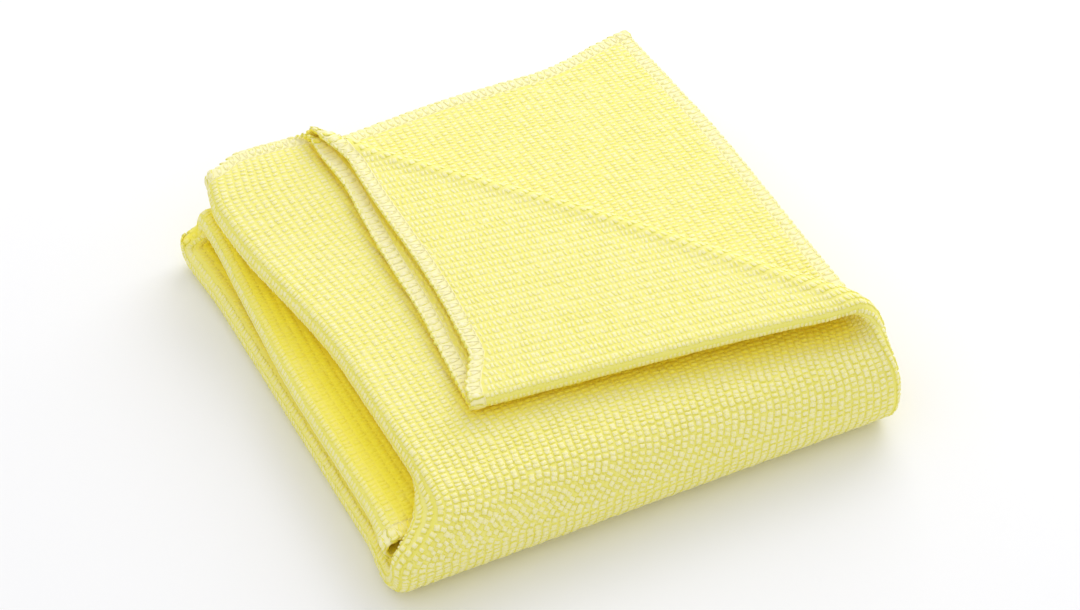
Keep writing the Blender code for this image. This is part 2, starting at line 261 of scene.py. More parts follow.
# ---- The folds ---------------------------------------------------------------------------------
def smooth(value, start, end):
    """Rise from 0 at start to 1 at end with level ends."""
    share = min(max((value - start) / (end - start), 0.0), 1.0)
    return share * share * (3 - 2 * share)


def ramped(value, ramps, place):
    """A value after its (from, to, change) ramps up to a place."""
    return value + sum(change * smooth(place, start, end) for start, end, change in ramps)


def fold_across(u, w):
    """Carry a point of the flat cloth, u across it and w above it, into the strip's section."""
    if u < -LEFT_ARC:
        return LEFT_X - LEFT_ARC - u, UNDER_H - w
    if u < 0:
        angle = u / LEFT_RADIUS
        reach = LEFT_RADIUS + w
        return LEFT_X + reach * math.sin(angle), OUTER_H - LEFT_RADIUS + reach * math.cos(angle)
    if u <= OUTER_SPAN:
        return LEFT_X + u, OUTER_H + w
    if u <= OUTER_SPAN + RIGHT_ARC:
        angle = (u - OUTER_SPAN) / RIGHT_RADIUS
        reach = RIGHT_RADIUS + w
        return RIGHT_X + reach * math.sin(angle), FLAP_MIDDLE_H + reach * math.cos(angle)
    return RIGHT_X - (u - OUTER_SPAN - RIGHT_ARC), INNER_H - w


def slip(u, v):
    """How far a point has slid along the strip: inner plies take the shorter way round each fold."""
    if u < 0:
        slid = ramped(0.0, UNDER_SLIDES, -u - LEFT_ARC)
    else:
        slid = ramped(0.0, OUTER_SLIDES, u) + ramped(0.0, INNER_SLIDES, u - OUTER_SPAN - RIGHT_ARC)
    return slid * smooth(v, *SLIP_V)


def curl(along):
    """Where the curl starts at a place along its crease, and its bends as (radius, turn) pairs."""
    openness = smooth(along, OPENS_FROM, OPEN_AT)
    radius = CURL_RADIUS + CURL_OPENING * openness
    rise = LEAD_RADIUS * (1 - math.cos(LEAD_TURN)) + radius * math.cos(LEAD_TURN)
    target = FLAP_RISE + FLAP_OPENING * openness
    settle = math.acos((target - rise + SETTLE_RADIUS) / (radius + SETTLE_RADIUS))
    middle = CREASE_OFFSET + CREASE_SLANT * (along - CREASE_AT)
    half_run = (LEAD_RADIUS * (LEAD_TURN + math.sin(LEAD_TURN))
                + radius * (math.pi + settle - LEAD_TURN - math.sin(settle) - math.sin(LEAD_TURN))
                + SETTLE_RADIUS * (settle - math.sin(settle))) / 2
    bends = ((LEAD_RADIUS, LEAD_TURN), (radius, math.pi + settle - LEAD_TURN), (SETTLE_RADIUS, -settle))
    return middle - half_run, bends


def turn_back(x, y, h):
    """Turn the upper two plies of the strip's free end back over the slanting crease."""
    beyond, along = (x + y) / ROOT2, (x - y) / ROOT2
    if h < UNDER_TOP_H or beyond < TURNS_FROM:
        return x, y, h
    start, bends = curl(along)
    run = beyond - start
    if run <= 0:
        return x, y, h
    lift, beyond, height, heading = h - FLAP_MIDDLE_H, start, FLAP_MIDDLE_H, 0.0
    for radius, turn in bends:
        part = min(run, radius * abs(turn))
        side = math.copysign(radius, turn)
        ahead = heading + part / side
        beyond += side * (math.sin(ahead) - math.sin(heading))
        height += side * (math.cos(heading) - math.cos(ahead))
        heading = ahead
        run -= part
    beyond += run * math.cos(heading) - lift * math.sin(heading)
    height += run * math.sin(heading) + lift * math.cos(heading)
    return (beyond + along) / ROOT2, (beyond - along) / ROOT2, height


def fold_along(y, h):
    """Fold the strip back and forth. y runs along the strip and h through it."""
    if y >= ROLL_Y:
        return y, 2 * STRIP_PITCH + h
    if y >= ROLL_START:
        angle = (ROLL_Y - y) / ROLL_RADIUS
        reach = ROLL_INNER + h
        return ROLL_Y - reach * math.sin(angle), ROLL_Z + reach * math.cos(angle)
    if y >= U_START:
        return ROLL_Y + ROLL_START - y, STRIP_THICKNESS - h
    if y >= U_END:
        angle = (U_START - y) / U_RADIUS
        reach = U_INNER + h
        return U_Y + reach * math.sin(angle), U_Z - reach * math.cos(angle)
    return U_Y - (U_END - y), STRIP_PITCH + h


def by_run(z, bottom, middle, top):
    """A value for each of the three runs, changing only in the gaps between them."""
    low_gap, high_gap, half = U_Z, U_Z + STRIP_PITCH, 0.0010
    return (bottom + (middle - bottom) * smooth(z, low_gap - half, low_gap + half)
            + (top - middle) * smooth(z, high_gap - half, high_gap + half))


def settle_pile(x, y, z):
    """Let the pile lean and swell: its runs are shifted and narrowed, and their heights vary."""
    left = by_run(z, *(ramped(*shift, y) for shift in (BOTTOM_LEFT, MIDDLE_LEFT, TOP_LEFT)))
    right = by_run(z, *(ramped(*shift, y) for shift in (BOTTOM_RIGHT, MIDDLE_RIGHT, TOP_RIGHT)))
    in_roll = 1 - smooth(y, *ROLL_FADE)
    left += (ramped(*ROLL_LEFT, z) - left) * in_roll
    right += (ramped(*ROLL_RIGHT, z) - right) * in_roll
    share = x / STRIP_WIDTH
    lean = left * (1 - share) + right * share
    lean += (TUCK * smooth(y, *TUCK_Y) * (1 - smooth(x, *TUCK_X))
             * smooth(z, TOP_FROM_Z, 2 * STRIP_PITCH))
    swell = 1 + SWELL * math.sin(math.pi * min(max(share, 0), 1)) * smooth(y, *SWELL_Y)
    opened = LOOP_GAP * smooth(y, *GAP_Y) * (1 - smooth(x, *GAP_X))
    lifted = PUFF * smooth(y, *PUFF_Y) * (1 - smooth(x, *PUFF_X))
    height = (z * swell + opened * smooth(z, *GAP_Z)
              + lifted * smooth(z, TOP_FROM_Z, 3 * STRIP_PITCH))
    return x + lean, y, height


def place(u, v, w):
    """Carry a point of the flat cloth to its place in the folded one, over the origin."""
    x, h = fold_across(u, w)
    x, y, h = turn_back(x, v + slip(u, v), h)
    y, z = fold_along(y, h)
    x, y, z = settle_pile(x, y, z)
    return x - PILE_MIDDLE[0], y - PILE_MIDDLE[1], z


def fold(mesh):
    """Carry a flat mesh through the folds, down to the floor at most, and keep its flat places."""
    flat = mesh.attributes.new("flat_place", "FLOAT_VECTOR", "POINT")
    for vertex, kept in zip(mesh.vertices, flat.data):
        u, v, w = vertex.co
        kept.vector = vertex.co
        x, y, z = place(u, v, max(-PLY_ROOM, min(w, PLY_ROOM)))
        vertex.co = x, y, max(z, 0.0)
    mesh.update()


# ---- Small tools -------------------------------------------------------------------------------
def socket(sockets, key):
    """A node's socket by number, or the one in use by name."""
    if isinstance(key, int):
        return sockets[key]
    return next(found for found in sockets if found.name == key and found.enabled)


def add(tree, kind, inputs=None, out=0, **settings):
    """Add a node, set it up, feed its inputs from values or outputs, and return one output."""
    made = tree.nodes.new(kind)
    for name, value in settings.items():
        setattr(made, name, value)
    for key, value in (inputs or {}).items():
        target = socket(made.inputs, key)
        if isinstance(value, bpy.types.NodeSocket):
            tree.links.new(value, target)
        else:
            target.default_value = value
    return socket(made.outputs, out) if made.outputs else made


def calc(tree, operation, first, second=0.0, third=0.0):
    """One step of arithmetic on a tree's values."""
    return add(tree, "ShaderNodeMath", {0: first, 1: second, 2: third}, operation=operation)


def new_object(name, mesh):
    """An object of this scene with a mesh."""
    made = bpy.data.objects.new(name, mesh)
    bpy.context.scene.collection.objects.link(made)
    return made


def baked(carrier, tree, values, name):
    """The plain mesh that a node tree makes of a carrier object, which is then removed."""
    modifier = carrier.modifiers.new(tree.name, "NODES")
    modifier.node_group = tree
    for item in tree.interface.items_tree:
        if item.item_type == "SOCKET" and item.in_out == "INPUT" and item.name in values:
            modifier[item.identifier] = values[item.name]
    graph = bpy.context.evaluated_depsgraph_get()
    mesh = bpy.data.meshes.new_from_object(carrier.evaluated_get(graph))
    mesh.name = name
    carrier.modifiers.remove(modifier)
    old = carrier.data
    bpy.data.objects.remove(carrier)
    bpy.data.meshes.remove(old)
    return mesh


def new_tree(name, inputs):
    """A geometry tree with named inputs, its group input node and its group output node."""
    tree = bpy.data.node_groups.new(name, "GeometryNodeTree")
    tree.interface.new_socket("Geometry", in_out="INPUT", socket_type="NodeSocketGeometry")
    for label, kind in inputs:
        tree.interface.new_socket(label, in_out="INPUT", socket_type="NodeSocket" + kind)
    tree.interface.new_socket("Geometry", in_out="OUTPUT", socket_type="NodeSocketGeometry")
    return tree, tree.nodes.new("NodeGroupInput"), tree.nodes.new("NodeGroupOutput")


# ---- Materials ---------------------------------------------------------------------------------
def new_material(name, roughness, sheen):
    """A material with a plain shader to build on. Returns it, its tree and its shader."""
    material = bpy.data.materials.new(name)
    material.use_nodes = True
    tree = material.node_tree
    shader = tree.nodes["Principled BSDF"]
    shader.inputs["Roughness"].default_value = roughness
    shader.inputs["Specular IOR Level"].default_value = 0.25
    shader.inputs["Sheen Weight"].default_value = sheen
    shader.inputs["Sheen Roughness"].default_value = 0.45
    return material, tree, shader


def attribute(tree, name, out="Fac"):
    """A value that the mesh carries."""
    return add(tree, "ShaderNodeAttribute", attribute_name=name, out=out)


def mixed(tree, amount, first, second):
    """A colour between two colours."""
    node = tree.nodes.new("ShaderNodeMix")
    node.data_type = "RGBA"
    for key, value in ((0, amount), (6, first), (7, second)):
        if isinstance(value, bpy.types.NodeSocket):
            tree.links.new(value, node.inputs[key])
        else:
            node.inputs[key].default_value = value
    return node.outputs[2]


def bumped(tree, shader, height, distance):
    """Feed a height pattern to the shader as relief."""
    normal = add(tree, "ShaderNodeBump", {"Height": height, "Distance": distance, "Strength": 1.0})
    tree.links.new(normal, shader.inputs["Normal"])


def painted_shade_by_openness(tree, painted_shade_tint, colour, shut, wide):
    """A painted golden shade over a colour where the cloth sees little open sky or the soft light is
    blocked, between two shares of open sky.
    """
    light = add(tree, "ShaderNodeMapRange", {"Value": attribute(tree, "open"), "From Min": shut,
                                             "From Max": wide}, interpolation_type="SMOOTHSTEP")
    return mixed(tree, light, (*painted_shade_tint, 1.0), colour)


def ground_material(knit, thread):
    """The ground of the knit between the loops, in painted groove shade that is paler along the ribs,
    which the edges' stitches cover with pale thread.
    """
    material, tree, shader = new_material("knit_ground", 0.95, 0.08)
    flat = attribute(tree, "flat_place", "Vector")
    apart = add(tree, "ShaderNodeSeparateXYZ", {0: flat}, out="X")
    ahead = add(tree, "ShaderNodeSeparateXYZ", {0: flat}, out="Y")
    inside = []
    for at, low, high in ((apart, LOW_U, HIGH_U), (ahead, HIDDEN_END, FREE_END_Y)):
        off_middle = calc(tree, "ABSOLUTE", calc(tree, "SUBTRACT", at, (high + low) / 2))
        inside.append(calc(tree, "SUBTRACT", (high - low) / 2, off_middle))
    sewn = calc(tree, "LESS_THAN", calc(tree, "MINIMUM", *inside), thread.width + SEWN_OVER)
    # paler along the ribs and deeper between them, a painted shade of the grooves; the patches are random
    # tone
    rib = calc(tree, "ABSOLUTE", calc(tree, "SINE", calc(tree, "MULTIPLY", apart, math.pi / knit.wale)))
    patch = add(tree, "ShaderNodeTexNoise", {"Vector": flat, "Scale": 60.0, "Detail": 2.0}, out="Fac")
    pale = calc(tree, "ADD", calc(tree, "MULTIPLY", rib, 0.20), calc(tree, "MULTIPLY", patch, 0.20))
    colour = mixed(tree, pale, (*knit.painted_groove_shade, 1.0), (*knit.loop_colour, 1.0))
    colour = mixed(tree, calc(tree, "MULTIPLY", sewn, 0.8), colour, (*thread.colour, 1.0))
    tree.links.new(painted_shade_by_openness(tree, knit.painted_golden_shade, colour, *KNIT_SHADE), shader.inputs["Base Color"])
    fuzz = add(tree, "ShaderNodeTexNoise", {"Vector": flat, "Scale": FIBRES, "Detail": 3.0}, out="Fac")
    bumped(tree, shader, fuzz, GROUND_RELIEF)
    return material


def loop_material(knit):
    """The loops: a painted highlight on their crowns, painted shade on their sides where they sink into
    the ground, and finely fibrous.
    """
    material, tree, shader = new_material("knit_loops", 0.95, 0.10)
    # painted highlight on the crowns and painted shade on the lower sides, by the height in the loop
    depth = add(tree, "ShaderNodeMapRange", {"Value": attribute(tree, "crown"), "From Min": 0.35,
                                             "From Max": 0.95}, interpolation_type="SMOOTHSTEP")
    sides = painted_shade_by_openness(tree, knit.painted_golden_shade, (*knit.painted_groove_shade, 1.0), *KNIT_SHADE)
    pale = tuple(part + 0.5 * (1 - part) for part in knit.loop_colour)
    chance = calc(tree, "MULTIPLY", calc(tree, "POWER", attribute(tree, "tone"), 2.0), 0.30)
    crown = mixed(tree, chance, (*knit.loop_colour, 1.0), (*pale, 1.0))
    where = add(tree, "ShaderNodeTexCoord", out="Object")
    fibre = add(tree, "ShaderNodeTexNoise", {"Vector": where, "Scale": FIBRES, "Detail": 3.0,
                                             "Roughness": 0.6}, out="Fac")
    frayed = calc(tree, "MULTIPLY_ADD", calc(tree, "SUBTRACT", fibre, 0.5), 2.2, depth)
    frayed = add(tree, "ShaderNodeClamp", {"Value": frayed})
    colour = mixed(tree, frayed, sides, painted_shade_by_openness(tree, knit.painted_golden_shade, crown, *CROWN_SHADE))
    tree.links.new(colour, shader.inputs["Base Color"])
    bumped(tree, shader, fibre, LOOP_RELIEF)
    return material


def thread_material(thread, knit):
    """Bulky matching thread, with the twist of its filaments in relief and painted shade in the twist's
    grooves.
    """
    material, tree, shader = new_material("overlock_thread", 0.85, 0.10)
    run, turn = attribute(tree, "run"), attribute(tree, "turn")
    twist = calc(tree, "ADD", calc(tree, "MULTIPLY", run, 2 * math.pi / TWIST),
                 calc(tree, "MULTIPLY", turn, 4 * math.pi))
    ply = calc(tree, "ABSOLUTE", calc(tree, "SINE", twist))
    flat = attribute(tree, "flat_place", "Vector")
    fuzz = add(tree, "ShaderNodeTexNoise", {"Vector": flat, "Scale": THREAD_FIBRES, "Detail": 2.0},
               out="Fac")
    # painted shade: the thread is deeper in the grooves of its twist
    painted_shade_tint = tuple(part * shade for part, shade in zip(thread.colour, (0.99, 0.97, 0.84)))
    colour = mixed(tree, calc(tree, "MULTIPLY_ADD", ply, 0.6, calc(tree, "MULTIPLY", fuzz, 0.5)),
                   (*painted_shade_tint, 1.0), (*thread.colour, 1.0))
    tree.links.new(painted_shade_by_openness(tree, knit.painted_golden_shade, colour, *THREAD_SHADE), shader.inputs["Base Color"])
    bumped(tree, shader, ply, THREAD_RELIEF)
    return material


def floor_material(studio):
    """A plain pale floor with the faintest unevenness."""
    material, tree, shader = new_material("studio_floor", 0.9, 0.0)
    where = add(tree, "ShaderNodeTexCoord", out="Object")
    cloud = add(tree, "ShaderNodeTexNoise", {"Vector": where, "Scale": 2.0}, out="Fac")
    lighter = tuple(min(1.0, part * 1.01) for part in studio.floor_colour)
    tree.links.new(mixed(tree, cloud, (*studio.floor_colour, 1.0), (*lighter, 1.0)),
                   shader.inputs["Base Color"])
    return material


# ---- The ground of the knit --------------------------------------------------------------------
def spaced(start, end, steps):
    """Places from start to end, both included, in equal steps."""
    return [start + (end - start) * index / steps for index in range(steps + 1)]


def spans(stops):
    """Score places for a row of (end, steps) stops, where steps of None means a flat run."""
    places, start = [], stops[0][0]
    for end, steps in stops[1:]:
        places += spaced(start, end, steps or max(1, math.ceil(abs(end - start) / FLAT_STEP)))[1:]
        start = end
    return places[:-1]


def score(mesh, point, normal, geometry=None):
    """Cut the slab's faces along a plane, and return what was cut and what is new."""
    if geometry is None:
        geometry = mesh.verts[:] + mesh.edges[:] + mesh.faces[:]
    return bmesh.ops.bisect_plane(mesh, geom=geometry, dist=SNAP, plane_co=point,
                                  plane_no=normal)["geom"]


def faces_between(mesh, low_u, high_u, low_v):
    """The faces, edges and vertices of the slab within a band of u and beyond a place in v."""
    faces = []
    for face in mesh.faces:
        middle = face.calc_center_median()
        if low_u < middle.x < high_u and middle.y > low_v:
            faces.append(face)
    edges = {edge for face in faces for edge in face.edges}
    verts = {vert for face in faces for vert in face.verts}
    return list(verts) + list(edges) + faces


def edge_distance(u, v):
    """How far a place of the flat cloth is from its nearest edge."""
    return min(u - LOW_U, HIGH_U - u, v - HIDDEN_END, FREE_END_Y - v)


def half_thickness(u, v, knit):
    """Half the ground's thickness: sewn thinner under the overlocked edge, and rounded at its rim."""
    inside = edge_distance(u, v)
    half = PLY / 2 - knit.ground_inset - SEWN_IN * (1 - smooth(inside, *SEWN_FADE))
    if inside < RIM:
        half *= RIM_SHARE + (1 - RIM_SHARE) * math.sqrt(1 - (1 - max(inside, 0) / RIM) ** 2)
    return half


def knit_slab(knit):
    """The flat ground of the knit as a thin slab, scored finely wherever it will bend."""
    mesh = bmesh.new()
    bmesh.ops.create_cube(mesh, size=1.0)
    for vert in mesh.verts:
        vert.co = Vector((LOW_U + (vert.co.x + 0.5) * CLOTH_ACROSS,
                          HIDDEN_END + (vert.co.y + 0.5) * CLOTH_ALONG, vert.co.z * PLY))
    across = spans([(LOW_U, None), (-LEFT_ARC, None), (0.0, TURN_STEPS["left"]), (OUTER_SPAN, None),
                    (OUTER_SPAN + RIGHT_ARC, TURN_STEPS["right"]), (HIGH_U, None)])
    across += [LOW_U + step for step in RIM_LINES] + [HIGH_U - step for step in RIM_LINES]
    for u in across:
        score(mesh, (u, 0, 0), (1, 0, 0))
    along = spans([(HIDDEN_END, None), (U_END, None), (U_START, TURN_STEPS["u_turn"]),
                   (ROLL_START, None), (ROLL_Y, TURN_STEPS["roll"]), (FREE_END_Y, None)])
    along += [HIDDEN_END + step for step in RIM_LINES] + [FREE_END_Y - step for step in RIM_LINES]
    for v in along:
        score(mesh, (0, v, 0), (0, 1, 0))

    # The curl's lines are straight only once the plies have slid, so they are cut in that state.
    for vert in mesh.verts:
        vert.co.y += slip(vert.co.x, vert.co.y)
    start, bends = curl(CREASE_AT)
    lines = [start]
    for (radius, turn), steps in zip(bends, CURL_STEPS):
        lines += spaced(lines[-1], lines[-1] + radius * abs(turn), steps)[1:]
    slope = Vector((1 - CREASE_SLANT, 1 + CREASE_SLANT)) / ROOT2
    end = OUTER_SPAN + RIGHT_ARC
    for low, high, at_u, way, x in ((0, OUTER_SPAN, 0, (slope.x, slope.y, 0), LEFT_X),
                                    (OUTER_SPAN, end, OUTER_SPAN, (0, 1, 0), RIGHT_X),
                                    (end, HIGH_U, end, (-slope.x, slope.y, 0), RIGHT_X)):
        region = faces_between(mesh, low, high, ROLL_START)
        for line in lines:
            at_v = (line - CREASE_SLANT * CREASE_AT - slope.x * x) / slope.y
            region = score(mesh, (at_u, at_v, 0), way, region)
    return mesh


def unslipped(u, v):
    """Where along the flat cloth a place came from, before the plies slid."""
    flat = v
    for _ in range(SLIP_ROUNDS if v > ROLL_START else 0):
        flat = v - slip(u, flat)
    return flat


class CLOTH_OT_knit_ground(bpy.types.Operator):
    """Knit the ground of the cloth and fold it"""
    bl_idname = "cloth.knit_ground"
    bl_label = "Knit and Fold the Ground"

    def execute(self, context):
        knit = context.scene.knit
        slab = knit_slab(knit)
        for vert in slab.verts:
            vert.co.y = unslipped(vert.co.x, vert.co.y)
            vert.co.z = math.copysign(half_thickness(vert.co.x, vert.co.y, knit), vert.co.z)
        bmesh.ops.triangulate(slab, faces=[face for face in slab.faces if len(face.verts) > 4])
        mesh = bpy.data.meshes.new("cloth_knit")
        slab.to_mesh(mesh)
        slab.free()
        fold(mesh)
        mesh.shade_smooth()
        mesh.materials.append(ground_material(knit, context.scene.thread))
        cloth = new_object("cloth_knit", mesh)
        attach(cloth, "root")
        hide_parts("cloth")
        return {"FINISHED"}


# ---- The loops ---------------------------------------------------------------------------------
SURVEYED = {}               # how open the folded cloth is, once its loops are set, for the thread's painted shade


def loop_tree():
    """A geometry tree that sets one pillow-shaped loop of the knit on every point."""
    tree, given, result = new_tree("knit_loops", (
        ("Length", "Float"), ("Width", "Float"), ("Height", "Float"), ("Unevenness", "Float"),
        ("Segments", "Int"), ("Rings", "Int"), ("Seed", "Int"), ("Finish", "Material")))
    fullness, droop = 0.35, 0.20        # how far a loop's shoulders swell and its ends sink
    loop = add(tree, "GeometryNodeMeshUVSphere", {"Segments": given.outputs["Segments"],
                                                  "Rings": given.outputs["Rings"], "Radius": 1.0})
    loop = add(tree, "GeometryNodeTransform", {"Geometry": loop, "Rotation": (0.0, 0.0, math.pi / 6)})
    loop = add(tree, "GeometryNodeTransform", {"Geometry": loop, "Rotation": (0.0, math.pi / 2, 0.0)})
    where = add(tree, "GeometryNodeInputPosition")
    x = add(tree, "ShaderNodeSeparateXYZ", {0: where}, out="X")
    square = calc(tree, "MULTIPLY", x, x)
    fuller = calc(tree, "MULTIPLY", x, calc(tree, "MULTIPLY_ADD", square, -fullness, fullness))
    sag = add(tree, "ShaderNodeCombineXYZ", {"X": fuller, "Z": calc(tree, "MULTIPLY", square, -droop)})
    loop = add(tree, "GeometryNodeSetPosition", {"Geometry": loop, "Offset": sag})
    z = add(tree, "ShaderNodeSeparateXYZ", {0: where}, out="Z")
    # the height in the loop, by which its finish paints a highlight on the crown and shade on the sides
    loop = add(tree, "GeometryNodeStoreNamedAttribute", {"Geometry": loop, "Name": "crown", "Value": z},
               data_type="FLOAT", domain="POINT")

    def varied(number, low, high):
        """A random number for each loop."""
        seed = calc(tree, "ADD", given.outputs["Seed"], float(number))
        return add(tree, "FunctionNodeRandomValue", {"Min": low, "Max": high, "Seed": seed},
                   out="Value", data_type="FLOAT")

    def carried(name, kind="FLOAT"):
        """A value that the points carry."""
        return add(tree, "GeometryNodeInputNamedAttribute", {"Name": name}, out="Attribute",
                   data_type=kind)

    def sized(number, name, factor):
        """A size of the loop, times what its point carries, varied by the unevenness."""
        share = LOOP_VARIES[name]
        change = calc(tree, "MULTIPLY", varied(number, -share, share), given.outputs["Unevenness"])
        size = calc(tree, "MULTIPLY", given.outputs[name], carried(factor))
        return calc(tree, "MULTIPLY", size, calc(tree, "ADD", change, 1.0))

    scale = add(tree, "ShaderNodeCombineXYZ", {
        "X": calc(tree, "MULTIPLY", sized(1, "Width", "wide"), 0.5),
        "Y": calc(tree, "MULTIPLY", sized(2, "Length", "long"), 0.5),
        "Z": sized(3, "Height", "high")})
    lean = calc(tree, "MULTIPLY", varied(4, -LOOP_LEANS, LOOP_LEANS), given.outputs["Unevenness"])
    spin = add(tree, "ShaderNodeCombineXYZ", {"Z": calc(tree, "ADD", lean, carried("heading"))})
    stood = add(tree, "FunctionNodeEulerToRotation", {"Euler": carried("stance", "FLOAT_VECTOR")})
    turned = add(tree, "FunctionNodeRotateRotation", {
        "Rotation": stood, "Rotate By": add(tree, "FunctionNodeEulerToRotation", {"Euler": spin})},
        rotation_space="LOCAL")
    loops = add(tree, "GeometryNodeInstanceOnPoints", {
        "Points": given.outputs["Geometry"], "Instance": loop, "Scale": scale, "Rotation": turned})
    loops = add(tree, "GeometryNodeStoreNamedAttribute", {
        "Geometry": loops, "Name": "tone", "Value": varied(5, 0.0, 1.0)},
        data_type="FLOAT", domain="INSTANCE")
    loops = add(tree, "GeometryNodeRealizeInstances", {"Geometry": loops})
    loops = add(tree, "GeometryNodeSetShadeSmooth", {"Geometry": loops})
    loops = add(tree, "GeometryNodeSetMaterial", {"Geometry": loops,
                                                  "Material": given.outputs["Finish"]})
    tree.links.new(loops, result.inputs["Geometry"])
    return tree


def surveyed(cloth):
    """How open each face of the cloth is on a flat grid, weighed towards the light behind it: the finishes
    paint shade and shadow from it.
    """
    ways = []
    for tilt, number in RAY_RINGS:
        for step in range(number):
            turn = 2 * math.pi * (step + 0.5) / number
            ways.append((math.cos(tilt), math.sin(tilt) * math.cos(turn),
                         math.sin(tilt) * math.sin(turn)))
    light = Vector(KEY_PLACE).normalized()
    found = {}
    for side in (1, -1):
        for i in range(SURVEY[0] + 1):
            u = LOW_U + CLOTH_ACROSS * i / SURVEY[0]
            for j in range(SURVEY[1] + 1):
                v = HIDDEN_END + CLOTH_ALONG * j / SURVEY[1]
                w = side * FACE_W
                here, out, ahead = (Vector(place(*spot))
                                    for spot in ((u, v, w), (u, v, w * 1.2), (u, v + NUDGE, w)))
                outward, tangent = (out - here).normalized(), (ahead - here).normalized()
                if outward.z < FACES_DOWN and here.z < NEAR_FLOOR:
                    found[side, i, j] = UNDERNEATH
                    continue
                start, aside = here + outward * RAY_START, outward.cross(tangent)
                free = total = 0.0
                for up, fore, wide in ways:
                    way = outward * up + tangent * fore + aside * wide
                    share = up * (1 + KEY_SHARE * max(0.0, way.dot(light)) ** KEY_FOCUS)
                    total += share
                    if cloth.ray_cast(start, way, RAY_LENGTH)[0] is None:
                        free += share
                found[side, i, j] = free / total
    return found


def read_survey(survey, u, v, side):
    """How open the cloth is at a flat place, between the survey's points."""
    i = min(max((u - LOW_U) / CLOTH_ACROSS, 0.0), 0.9999) * SURVEY[0]
    j = min(max((v - HIDDEN_END) / CLOTH_ALONG, 0.0), 0.9999) * SURVEY[1]
    low_i, low_j = int(i), int(j)
    i, j = i - low_i, j - low_j
    corners = ((0, 0, (1 - i) * (1 - j)), (1, 0, i * (1 - j)), (0, 1, (1 - i) * j), (1, 1, i * j))
    return sum(survey[side, low_i + di, low_j + dj] * share for di, dj, share in corners)


def spread(u, side):
    """How much the fold across the strip stretches one face of the cloth, at a place across it."""
    if -LEFT_ARC < u < 0:
        return 1 + side * FACE_W / LEFT_RADIUS
    if OUTER_SPAN < u < OUTER_SPAN + RIGHT_ARC:
        return 1 + side * FACE_W / RIGHT_RADIUS
    return 1.0


def course_step(y, knit):
    """The distance from one loop to the next along the strip, less where a turn stretches its face."""
    for start, end, radius, inner in ((ROLL_START, ROLL_Y, ROLL_RADIUS, ROLL_INNER),
                                      (U_END, U_START, U_RADIUS, U_INNER)):
        if start < y < end:
            return knit.course * radius / (inner + OUTER_H + PLY / 2)
    return knit.course


def rib_loops(knit, survey, margin):
    """The loops of the ribs that can be seen, each as its flat place and its LOOP_FACTS."""
    chance = random.Random(STRAY_SEED)
    rows = []
    for side in (1, -1):
        u, rib = LOW_U + margin + knit.wale / 2, 0
        while u < HIGH_U - margin - knit.wale / 2:
            step = knit.wale / spread(u, side)
            y = HIDDEN_END + margin + knit.course * (STAGGER * rib % 1)
            while (v := unslipped(u, y)) < FREE_END_Y - margin - knit.course * LAST_LOOP:
                onward = course_step(y, knit)
                here, ahead = (Vector(place(u, v + more, side * PLY / 2)) for more in (0, NUDGE))
                long = (ahead - here).length / NUDGE * onward / knit.course
                risen = smooth(v, ROLL_START - RISE, ROLL_START) * (1 - smooth(v, ROLL_Y, ROLL_Y + SINK))
                is_open = read_survey(survey, u, v, side)
                if is_open > SEEN:
                    at = (u + LOOP_STRAY[0] * knit.unevenness * chance.uniform(-1, 1) * knit.wale,
                          v + LOOP_STRAY[1] * knit.unevenness * chance.uniform(-1, 1) * knit.course)
                    rows.append((*at, side * (half_thickness(*at, knit) - LOOP_SUNK),
                                 PRESSED + RAISED * risen, LOOP_TILT, step / knit.wale,
                                 min(max(long, STRETCH[0]), STRETCH[1]), is_open))
                y += onward
            u += step
            rib += 1
    return rows


def stretch_of_cloth(u, v, w):
    """The name of the stretch of cloth that a loop is on."""
    if v > ROLL_Y:
        if w < 0:
            return "loops_revealed"
        return "loops_flap" if u > OUTER_SPAN + RIGHT_ARC / 2 else "loops_top"
    if v > ROLL_START:
        return "loops_roll"
    if v > U_START:
        return "loops_bottom" if w > 0 and 0 < u < OUTER_SPAN else "loops_bottom_sides"
    return "loops_middle"


def edge_puffs(knit, thread, survey):
    """The puffs of cloth between the stitches of the overlocked edge, as rows like a rib's loops."""
    wide, long = thread.width / (LOOP_FILL[0] * knit.wale), thread.stitch / (LOOP_FILL[1] * knit.course)
    rows = []
    for ends in EDGES:
        start, end = (Vector(corner) for corner in ends)
        way = (end - start).normalized()
        inward = Vector((-way.y, way.x))
        heading = math.atan2(inward.y, inward.x)
        for stitch in range(round((end - start).length / thread.stitch)):
            along = start + way * (stitch + 0.5) * thread.stitch
            for depth, width in PUFFS:
                at = along + inward * thread.width * depth
                for side in (1, -1):
                    is_open = read_survey(survey, *at, side)
                    if is_open > SEEN:
                        rows.append((*at, side * (half_thickness(*at, knit) - LOOP_SUNK), PUFF_HEIGHT,
                                     side * heading, width * wide, PUFF_LENGTH * long, is_open))
    return rows


def mark_openness(mesh, survey):
    """Store how open the cloth is on every vertex of a folded mesh, for its painted shade."""
    places = [spot.vector.copy() for spot in mesh.attributes["flat_place"].data]
    kept = mesh.attributes.new("open", "FLOAT", "POINT")
    kept.data.foreach_set("value", [read_survey(survey, *spot[:2], 1 if spot.z > 0 else -1)
                                    for spot in places])


def stance(u, v, w):
    """Where a flat place lies on the folded cloth, how a loop stands there, and its rib's width."""
    here, aside, ahead = (Vector(place(*spot))
                          for spot in ((u, v, w), (u + NUDGE, v, w), (u, v + NUDGE, w)))
    along = (ahead - here).normalized()
    across = (aside - here) / NUDGE
    across -= along * across.dot(along)
    if w < 0:
        along = -along
    width, across = min(max(across.length, WIDENING[0]), WIDENING[1]), across.normalized()
    turned = Matrix((across, along, across.cross(along))).transposed().to_euler()
    return here, turned, width


